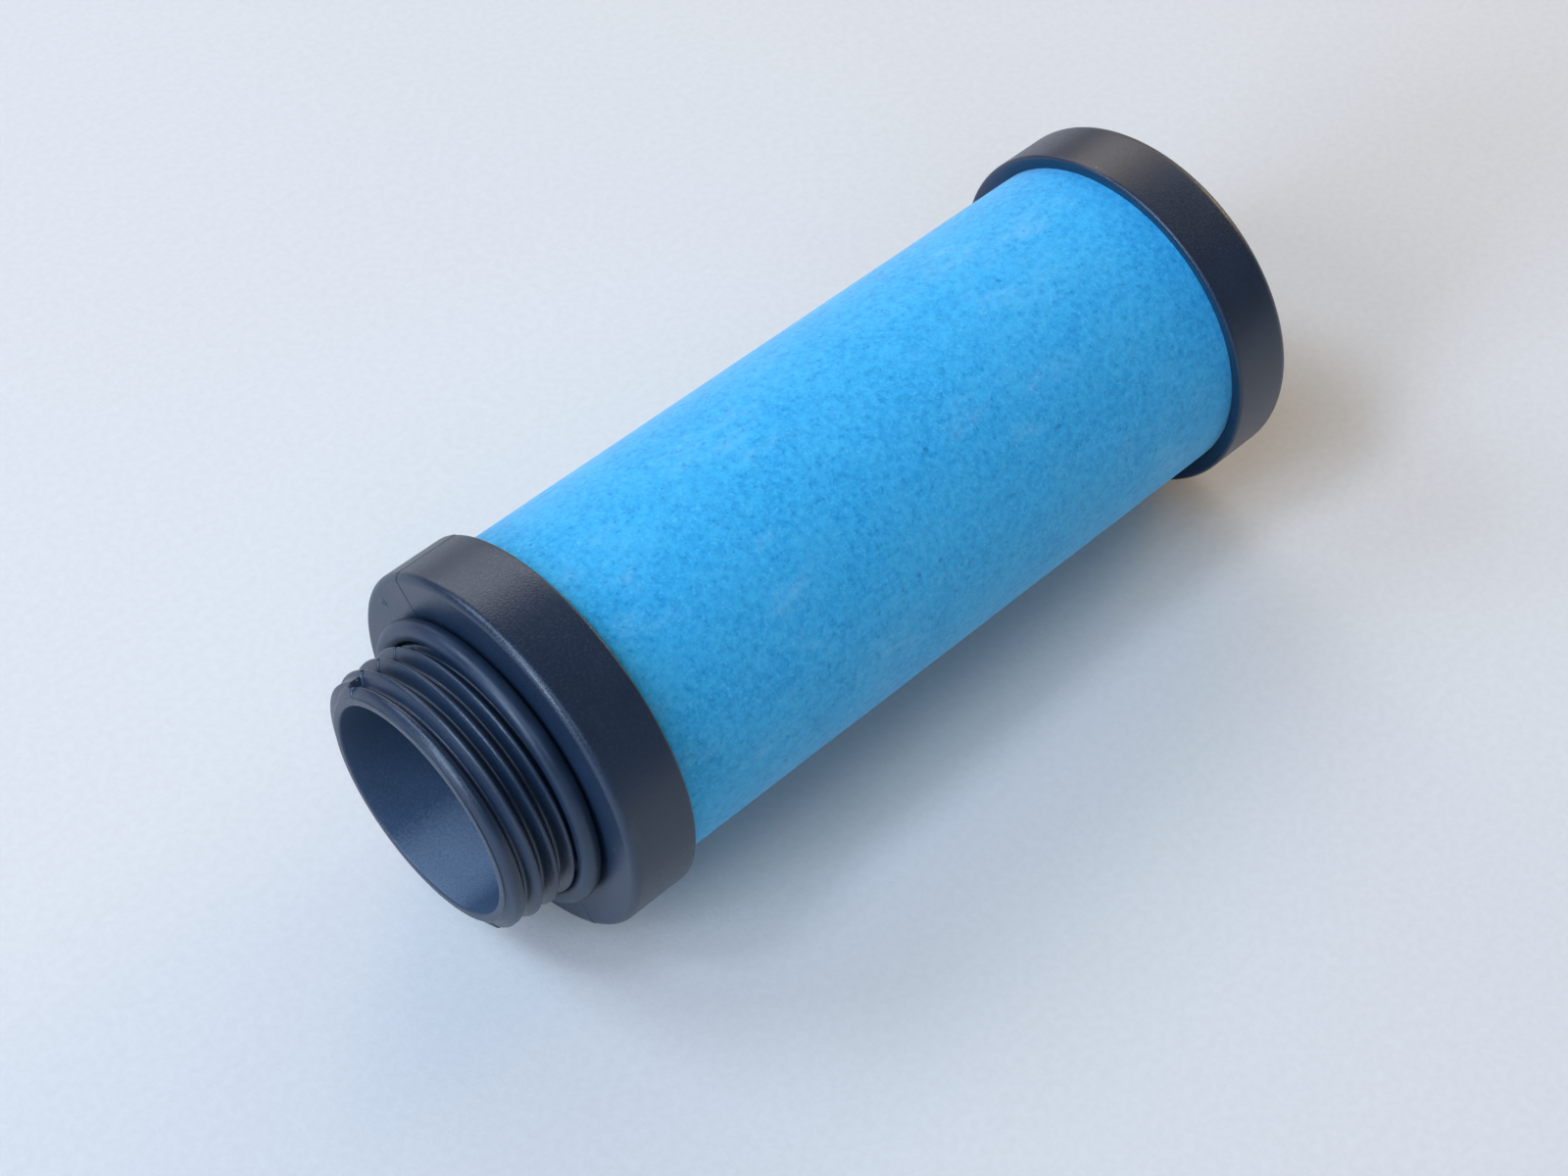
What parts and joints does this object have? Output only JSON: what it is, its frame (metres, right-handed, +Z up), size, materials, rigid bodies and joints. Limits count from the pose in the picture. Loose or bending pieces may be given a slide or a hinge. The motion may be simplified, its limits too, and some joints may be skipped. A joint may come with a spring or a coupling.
{
  "type": "pneumatic muffler",
  "caption": "Cylindrical exhaust silencer: a porous plastic tube closed by a moulded cap at one end, with a threaded, O-ring-sealed inlet cap at the other.",
  "frame": {"origin": "on the axis, in the plane of the flange face that the O-ring seals", "axes": "+X along the axis from the inlet thread to the closed end, +Z up with the muffler lying on its side"},
  "size_m": [0.1192, 0.0468, 0.0468],
  "materials": {
    "cap_plastic": "satin moulded",
    "seal_rubber": "satin",
    "porous_plastic": "matt, open-pored",
    "bond_resin": "smooth cast"
  },
  "bodies": {
    "root": {"inlet_cap": "cap_plastic", "seal_ring": "seal_rubber", "porous_tube": "porous_plastic", "end_cap": "cap_plastic", "inlet_bond_ring": "bond_resin", "end_bond_ring": "bond_resin"}
  },
  "joints": []
}
